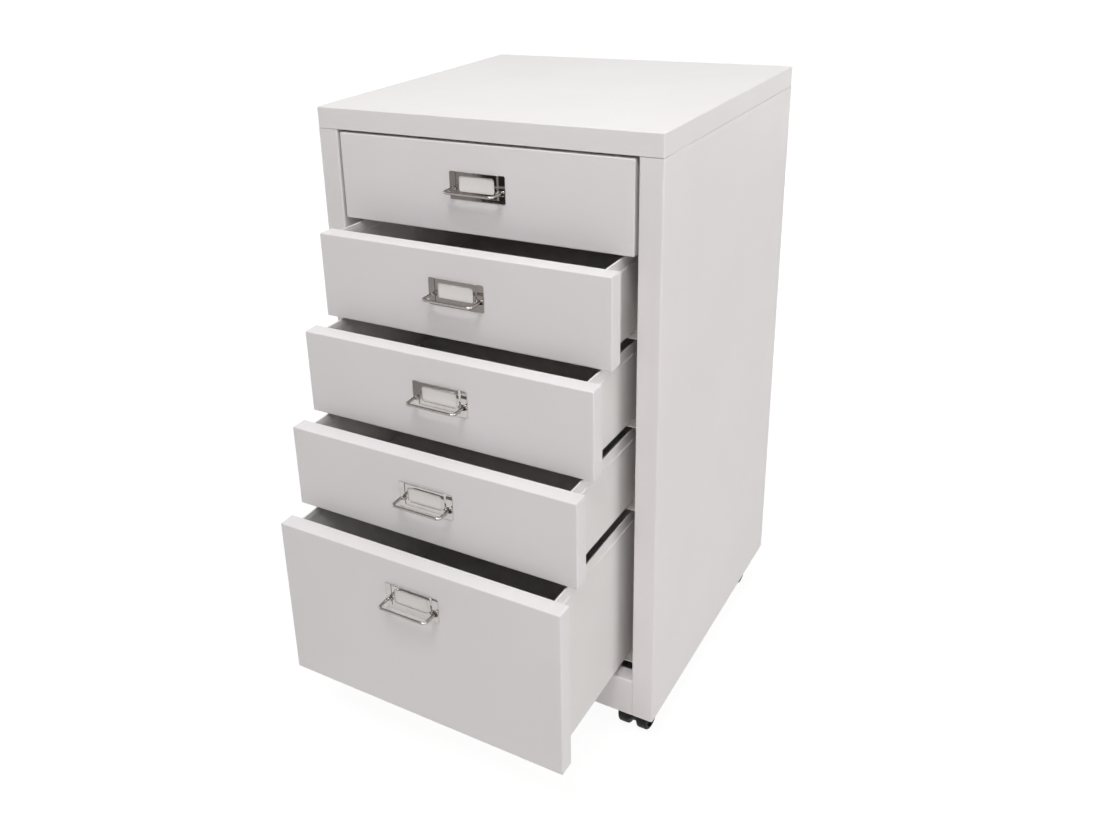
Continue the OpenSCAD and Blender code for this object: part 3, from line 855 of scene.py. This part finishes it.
# %% [markdown]
# ## Pull plates
#
# The plate is pressed from one piece of thin sheet: two flat wings, and between them a label
# holder that stands 1 mm proud on soft slopes, with a window that has round corners. The middle
# of a flat sheet is cut free by four lines and moved forward, which leaves the slopes by itself.
# The window is punched through with a rounded block, a Boolean, since a hole with round corners
# is easier to cut than to draw.
#
# The sheet's ends curl into two knuckles that hold the pins of the bail. Below each knuckle a
# small tab keeps the bail from falling further, and two tabs at the plate's ends go through the
# front and are bent over behind it. One plate is made, for the top drawer, and copied.

# %% Pull plate: sheet and window
plate_z = 631           # top of the first drawer's plate
plate_drop, deep_plate_drop = 28, 28.5
plate_half, plate_h, plate_t = 31.5, 28, 0.8
holder_half, slope, holder_rise, holder_h = 24.5, 1.6, 1.0, 24.5
window_half, window_top, window_low = 20, 3.5, 19.5
plate_corner, window_corner = 1.6, 3
wing_face = face_y - plate_t
holder_face = wing_face - holder_rise

plate = start_sheet("plate", (-plate_half, wing_face, plate_z - plate_h),
                    (plate_half, wing_face, plate_z))
pick("verts", lambda p, d: True)
bevel(plate_corner, 5, "VERTICES")
for x in (-holder_half, slope - holder_half, holder_half - slope, holder_half):
    cut("x", x)
cut("z", plate_z - holder_h)
cut("z", plate_z - holder_h + plate_t)
pick("verts", lambda p, d: abs(p.x) < holder_half - slope + 0.1
     and p.z > plate_z - holder_h + plate_t - 0.1)
move(y=-holder_rise)
face_away_from((0, 0, plate_z))
thicken(plate, plate_t)
punch = start_box("punch", (-window_half, holder_face - 2, plate_z - window_low),
                  (window_half, face_y + 2, plate_z - window_top))
pick("edges", lambda p, d: abs(d.y) > 0.9)
bevel(window_corner, 8)
apply_modifier(plate, "BOOLEAN", operation="DIFFERENCE", object=punch, solver="EXACT")
bpy.data.objects.remove(punch)
break_edges(plate, 0.22, 25, 3)
print("plate faces", len(plate.data.polygons))

# %% Pull plate: knuckles, stops and tabs
pivot_y = face_y - 2.5
pivot_z = plate_z - 17
knuckle_r, bore_r, knuckle_root = 1.7, 1.05, 0.9
knuckle_in, knuckle_out = 22.5, 25.5
stop_in, stop_out, stop_top, stop_low = 25.9, 30.5, 18.7, 19.5
tab_top, tab_low, tab_bent = 11, 17, 5.2


def make_knuckle(sign):
    """A curl of sheet with a bore for the pin, and its root in the plate."""
    knuckle = start_rod("knuckle", (sign * (knuckle_in + knuckle_out) / 2, pivot_y, pivot_z),
                        knuckle_r, knuckle_out - knuckle_in, 28)
    pick("faces", lambda p, d: abs(d.x) > 0.9)
    inset(knuckle_r - bore_r)
    bpy.ops.mesh.delete(type="FACE")
    pick("edges", lambda p, d: abs(d.x) < 0.1
         and Vector((p.y - pivot_y, p.z - pivot_z)).length < bore_r + 0.1)
    bpy.ops.mesh.bridge_edge_loops()
    pick("faces", lambda p, d: d.y > 0.5
         and Vector((p.y - pivot_y, p.z - pivot_z)).length > bore_r + 0.3 and abs(d.x) < 0.1)
    extrude(y=knuckle_root)
    break_edges(knuckle, 0.15, 40, 2)
    return knuckle


def make_stop(sign):
    """The small tab that the bail's leg rests on."""
    ends = sorted((sign * stop_in, sign * stop_out))
    stop = start_box("stop", (ends[0], pivot_y - 1, plate_z - stop_low),
                     (ends[1], face_y - plate_t / 2, plate_z - stop_top))
    pick("edges", lambda p, d: abs(d.z) > 0.9 and near(p.y, pivot_y - 1))
    bevel(0.8, 4)
    break_edges(stop, 0.15, 40, 2)
    return stop


def make_tab(sign):
    """The tab that goes through the front and is bent over behind it."""
    ends = sorted((sign * (plate_half - plate_t), sign * plate_half))
    tab = start_box("tab", (ends[0], wing_face + 0.1, plate_z - tab_low),
                    (ends[1], face_y + sheet + plate_t, plate_z - tab_top))
    cut("y", face_y + sheet)
    pick("faces", lambda p, d: d.x * sign < -0.9 and p.y > face_y + sheet)
    extrude(x=-sign * tab_bent)
    break_edges(tab, 0.1, 40, 2)
    return tab


details = [make(sign) for make in (make_knuckle, make_stop, make_tab) for sign in (-1, 1)]
plate = join("drawer_1_plate", plate, *details)
shade(plate, 40)

# %% [markdown]
# ## Bails
#
# The bail is one length of 3 mm wire: a grip, two legs, and two ends that are bent in and turned
# down to 2 mm pins. Wire is easiest to draw the way a bending machine makes it. A circle stands
# at one pin, is pulled along the first straight, spun round the first bend, pulled again, and so
# on to the other end. Every bend is a quarter turn to the right, which spin takes as a positive
# angle here.

# %% Bail
wire_r, pin_r = 1.5, 1.0
leg_x, bail_reach, bend_r, crook_r = 27.4, 17, 4, 1.6


def bend(angle, x, y):
    """Spins the open end of the wire about an upright axis at x, y."""
    bpy.ops.mesh.spin(steps=8, angle=math.radians(angle), center=Vector((x, y, pivot_z)) * MM,
                      axis=(0, 0, 1))


begin()
bpy.ops.mesh.primitive_circle_add(
    vertices=20, radius=pin_r * MM, fill_type="NGON", rotation=(0, math.radians(90), 0),
    location=Vector((knuckle_in, pivot_y, pivot_z)) * MM)
bail = into_edit("drawer_1_wire")
bpy.ops.mesh.select_all(action="SELECT")
extrude(x=knuckle_out + 0.2 - knuckle_in)
extrude(x=0.1)
shoulder = Vector((knuckle_out + 0.3, pivot_y, pivot_z)) * MM
bpy.ops.transform.resize(value=(1, wire_r / pin_r, wire_r / pin_r), center_override=shoulder)
bend(90, leg_x - crook_r, pivot_y - crook_r)
extrude(y=crook_r + bend_r - bail_reach)
bend(90, leg_x - bend_r, pivot_y - bail_reach + bend_r)
extrude(x=-2 * (leg_x - bend_r))
bend(90, bend_r - leg_x, pivot_y - bail_reach + bend_r)
extrude(y=bail_reach - bend_r - crook_r)
bend(90, crook_r - leg_x, pivot_y - crook_r)
extrude(x=0.1)
shoulder.x = -shoulder.x
bpy.ops.transform.resize(value=(1, pin_r / wire_r, pin_r / wire_r), center_override=shoulder)
extrude(x=knuckle_out + 0.2 - knuckle_in)
bpy.ops.mesh.select_all(action="SELECT")
bpy.ops.mesh.remove_doubles(threshold=0.00001)
bpy.ops.mesh.normals_make_consistent(inside=False)
shade(bail, 50)

# %% [markdown]
# ## Label cards
#
# The card slides in from above behind the window. It is cut with slightly rounded corners from
# half-millimetre board.

# %% Label card
card_half = 22.2
card_low, card_top = 23.7, 1
card_corner, card_t = 1.2, 0.5
card_y = holder_face + plate_t + 0.4    # just behind the holder's frame
card = start_sheet("drawer_1_card", (-card_half, card_y, plate_z - card_low),
                   (card_half, card_y, plate_z - card_top))
pick("verts", lambda p, d: True)
bevel(card_corner, 4, "VERTICES")
face_away_from((0, 0, plate_z))
thicken(card, card_t)
shade(card)

# %% [markdown]
# ## The five pulls
#
# The plate, the bail and the card are copied to the other drawers. Each copy has a mesh of its
# own, and each is moved by how far its drawer stands open and how low its plate sits.

# %% Copy the pulls
for i in drawers:
    down = front_top(i) - (deep_plate_drop if i == 5 else plate_drop) - plate_z
    if i == 1:
        parts = [plate, bail, card]
    else:
        parts = [copy_of(part, part.name.replace("_1_", f"_{i}_"), y=-open_by[i], z=down)
                 for part in (plate, bail, card)]
    finish(parts[0], chrome, f"drawer_{i}", "pull_chrome", f"drawer_{i}_pull_plate")
    finish(parts[1], chrome, f"bail_{i}", "pull_chrome", f"drawer_{i}_bail")
    finish(parts[2], paper, f"drawer_{i}", "label_card", f"drawer_{i}_label_card")

# %% [markdown]
# ## Castors
#
# A twin-wheel castor has a nylon hood over two wheels, with a web between them that holds the
# axle, and a pin in the middle of its plate on which it swivels. The hood is a tube that is cut
# open below and in front. The web is a disc that reaches out to the hood behind and above, and
# stays inside the wheels in front, where a notch shows. The boss for the pin stands on top. The
# wheels are turned shapes, but an inset and a push make their dish and hub just as well as a spun
# outline. One castor is modelled in place at the front left and copied to the other corners.

# %% Castor hood
castor_x, castor_front, castor_back = 159.5, -73, 235
axle_y = castor_front + 10
axle_z = 18
wheel_in, wheel_out = 4.5, 17
hood_out, hood_t = 20.2, 1.4
hood_low, brow_z = 6.5, 26
web_r, web_t = 13, 8    # the web where it shows between the wheels
boss_r, boss_top = 9, 41.6
first = "castor_front_left"

shell = start_rod("hood", (-castor_x, axle_y, axle_z), hood_out, 2 * wheel_out, 64, ends="NOTHING")
pick("faces", lambda p, d: p.y < axle_y)
cut("z", brow_z, keep=1, everything=False)
pick("faces", lambda p, d: p.y > axle_y)
cut("z", hood_low, keep=1, everything=False)
face_away_from((-castor_x, axle_y, axle_z))
thicken(shell, hood_t)
break_edges(shell, 0.5, 40, 3)

webs = [start_rod("web", (-castor_x, axle_y, axle_z), web_r, web_t, 64)]
for axis, place in (("y", axle_y), ("z", brow_z)):
    part = start_rod("web", (-castor_x, axle_y, axle_z), hood_out - 0.4, web_t, 64)
    cut(axis, place, keep=1, closed=True)
    cut("z", hood_low, keep=1, closed=True)
    webs.append(part)
webs.append(start_box("web", (-castor_x - web_t / 2, castor_front - 5.5, axle_z),
                      (-castor_x + web_t / 2, axle_y, 40)))
for part in webs:
    break_edges(part, 0.4, 40, 2)
boss = start_rod("boss", (-castor_x, castor_front, boss_top - 2), boss_r, 4, 48, (0, 0, 0))
pick("edges", lambda p, d: near(p.z, boss_top))
bevel(0.8, 3)
hood = join(first + "_cover", shell, boss, *webs)
shade(hood, 40)

# %% Castor wheel
wheel_r = 18
tread_round = 2.4
rim, dish, spoke_ring, hub_out, hub_edge = 1.2, 3, 5.6, 2, 1.0
wheel = start_rod(first + "_roller_right",
                  (-castor_x + (wheel_in + wheel_out) / 2, axle_y, axle_z),
                  wheel_r, wheel_out - wheel_in, 56)
outer, inner = -castor_x + wheel_out, -castor_x + wheel_in
pick("edges", lambda p, d: abs(d.x) < 0.1)
bevel(tread_round, 4)
for side in (outer, inner):
    pick("faces", lambda p, d: abs(d.x) > 0.99 and near(p.x, side) and near(p.y, axle_y))
    inset(rim)
    if side == outer:
        extrude(x=-dish)
        inset(rim)
        inset(spoke_ring)
        extrude(x=hub_out)
        inset(hub_edge)
break_edges(wheel, 0.4, 40, 2)
shade(wheel, 40)
select_only(wheel)
bpy.ops.object.duplicate()
left_wheel = into_edit(first + "_roller_left")
bpy.ops.mesh.select_all(action="SELECT")
bpy.ops.transform.rotate(value=math.pi, orient_axis="Z",
                         center_override=Vector((-castor_x, axle_y, axle_z)) * MM)

# %% Castor plate and axle
mount_half, mount_z = 19, 42
king_r, king_l, king_z = 2.5, 19, 34
axle_r = 3
mount = start_box(first + "_mount", (-castor_x - mount_half, castor_front - mount_half, mount_z),
                  (-castor_x + mount_half, castor_front + mount_half, base_z))
pick("edges", lambda p, d: abs(d.z) > 0.9)
bevel(4, 6)
break_edges(mount, 0.3, 40, 2)
king = start_rod("king_pin", (-castor_x, castor_front, king_z), king_r, king_l, 32, (0, 0, 0))
pick("edges", lambda p, d: near(p.z, king_z - king_l / 2))
bevel(0.6, 2)
mount = join(first + "_mount", mount, king)
shade(mount, 40)
axle = start_rod(first + "_rod", (-castor_x, axle_y, axle_z), axle_r, 2 * wheel_out - 3, 32)
pick("edges", lambda p, d: abs(d.x) < 0.1)
bevel(0.6, 3)
shade(axle, 40)

# %% The four castors
corners = {"front_left": (-1, castor_front), "front_right": (1, castor_front),
           "rear_left": (-1, castor_back), "rear_right": (1, castor_back)}
castor_parts = [(mount, "plate", zinc, "cabinet", "castor_steel"),
                (hood, "hood", hood_nylon, "castor_{0}", "castor_hood"),
                (axle, "axle", zinc, "castor_{0}", "castor_steel"),
                (left_wheel, "wheel_left", wheel_nylon, "wheel_{0}_left", "castor_wheel"),
                (wheel, "wheel_right", wheel_nylon, "wheel_{0}_right", "castor_wheel")]
for corner, (sign, y) in corners.items():
    for part, node, material, body, slot in castor_parts:
        piece = part
        if corner != "front_left":
            piece = copy_of(part, part.name.replace("front_left", corner),
                            x=(sign + 1) * castor_x, y=y - castor_front)
        finish(piece, material, body.format(corner), slot, f"castor_{corner}_{node}")

# %% [markdown]
# ## Screws
#
# The screws that hold the top panel and the castors are plain pan heads, zinc plated, with a
# cross recess. One of each length is modelled, head down, and copied to its places. The castors'
# screws have hexagon nuts above the floor panel.

# %% A screw and a nut
head_r, head_h, shank_r = 3.4, 2.0, 2.0
head_round, tip = 1.1, 0.6
cross_long, cross_thin, cross_floor = 1.9, 0.5, 1.1


def make_screw(name, length):
    """A pan head screw that points up from the origin."""
    head = start_rod(name, (0, 0, -head_h / 2), head_r, head_h, 32, (0, 0, 0))
    pick("edges", lambda p, d: near(p.z, -head_h))
    bevel(head_round, 4)
    pick("faces", lambda p, d: d.z > 0.99)
    inset(head_r - shank_r)
    extrude(z=length - tip)
    extrude(z=tip)
    bpy.ops.transform.resize(value=(0.75, 0.75, 1), center_override=(0, 0, 0))
    cross = []
    for turn in (False, True):
        x, y = (cross_thin, cross_long) if turn else (cross_long, cross_thin)
        blade = start_box("blade", (-x, -y, -head_h - 1), (x, y, -cross_floor))
        pick("verts", lambda p, d: p.z > -1.5)
        bpy.ops.transform.resize(value=(0.6, 0.6, 1), center_override=(0, 0, 0))
        cross.append(blade)
    for blade in cross:
        apply_modifier(head, "BOOLEAN", operation="DIFFERENCE", object=blade, solver="EXACT")
        bpy.data.objects.remove(blade)
    return head


castor_screw = make_screw("castor_pan_head", 5)
nut = start_rod("nut", (0, 0, 4), head_r, head_h, 6, (0, 0, 0))
pick("faces", lambda p, d: abs(d.z) > 0.9)
inset(1.2)
bpy.ops.mesh.delete(type="FACE")
pick("edges", lambda p, d: abs(d.z) < 0.1 and Vector((p.x, p.y)).length < 2.1)
bpy.ops.mesh.bridge_edge_loops()
break_edges(nut, 0.25, 40, 2)
castor_screw = join("castor_pan_head", castor_screw, nut)
shade(castor_screw, 40)
cap_screw = make_screw("top_pan_head", 5.3)
shade(cap_screw, 40)

# %% Put the screws in place
castor_hole, cap_hole = 14, 183     # from the middle of a castor's plate, and of the cabinet
castor_spots = [(sign * castor_x + dx, y + dy) for sign in (-1, 1)
                for y in (castor_front, castor_back)
                for dx in (-castor_hole, castor_hole) for dy in (-castor_hole, castor_hole)]
cap_spots = [(sign * cap_hole, face_y + (back_y - face_y) * share)
             for sign in (-1, 1) for share in (0.16, 0.84)]
for node, screw, spots, z in (("castor_screws", castor_screw, castor_spots, mount_z),
                              ("body_screws", cap_screw, cap_spots, side_top - sheet)):
    copies = [copy_of(screw, screw.name + "_copy", x, y, z) for x, y in spots]
    name = screw.name + "s"
    bpy.data.objects.remove(screw)
    finish(join(name, *copies), zinc, "cabinet", "screw_steel", node)

# %% [markdown]
# ## Pieces kept from the CAD model
#
# The back and floor panels, the rear posts and the runners are plain folded sheet with the right
# thickness and bends already, so their solids stay and only get their finish.

# %% Finishes for the kept pieces
for node, material in (("back_panel", body_paint), ("floor_panel", body_paint),
                       ("rear_post_left", galvanised), ("rear_post_right", galvanised),
                       ("runners_left", galvanised), ("runners_right", galvanised)):
    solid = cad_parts[node]
    solid.data.materials.clear()
    solid.data.materials.append(material)
    print(node, "->", material.name)
